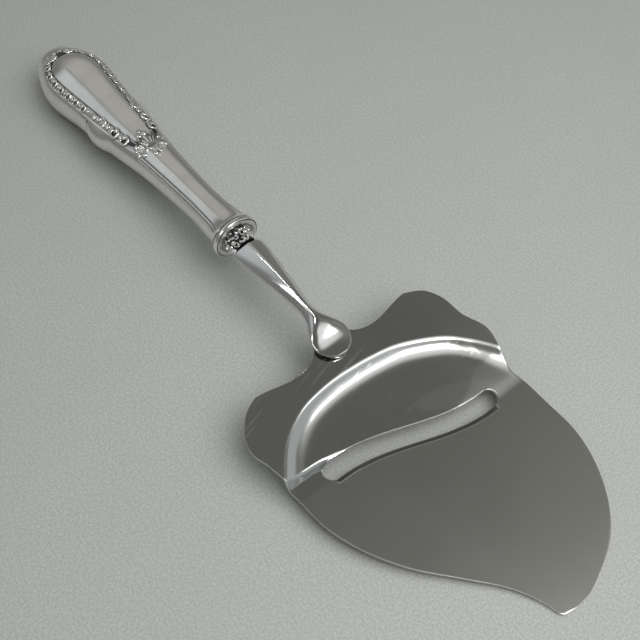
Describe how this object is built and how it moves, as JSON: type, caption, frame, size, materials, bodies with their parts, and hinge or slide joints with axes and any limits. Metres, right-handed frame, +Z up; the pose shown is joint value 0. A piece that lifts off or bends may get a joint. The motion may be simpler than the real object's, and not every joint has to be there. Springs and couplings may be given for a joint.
{
  "type": "cheese slicer",
  "caption": "Cheese slicer with a swelling hollow silver handle, a ridged steel shank and an arched stainless blade with a slanting slot and a pointed tongue.",
  "frame": {"origin": "the table under the middle of the slicer's box, as it lies at rest on its handle and its tip", "axes": "+X runs from the handle to the blade's tip, +Y to the side of the longer ear, +Z up from the table"},
  "size_m": [0.227, 0.0712, 0.0207],
  "materials": {
    "handle_silver": "polished silver with dark recesses",
    "handle_silver_back": "polished silver with dark recesses",
    "core_cement": "cast filler",
    "ring_silver": "polished silver",
    "plate_silver": "polished silver",
    "collar_steel": "polished stainless steel",
    "shank_steel": "polished stainless steel",
    "blade_steel": "polished stainless steel with fine wear scratches"
  },
  "bodies": {
    "root": {"handle_front": "handle_silver", "handle_back": "handle_silver_back", "handle_core": "core_cement", "ferrule_ring": "ring_silver", "end_plate": "plate_silver", "neck_collar": "collar_steel", "shank": "shank_steel", "blade": "blade_steel"}
  },
  "joints": []
}
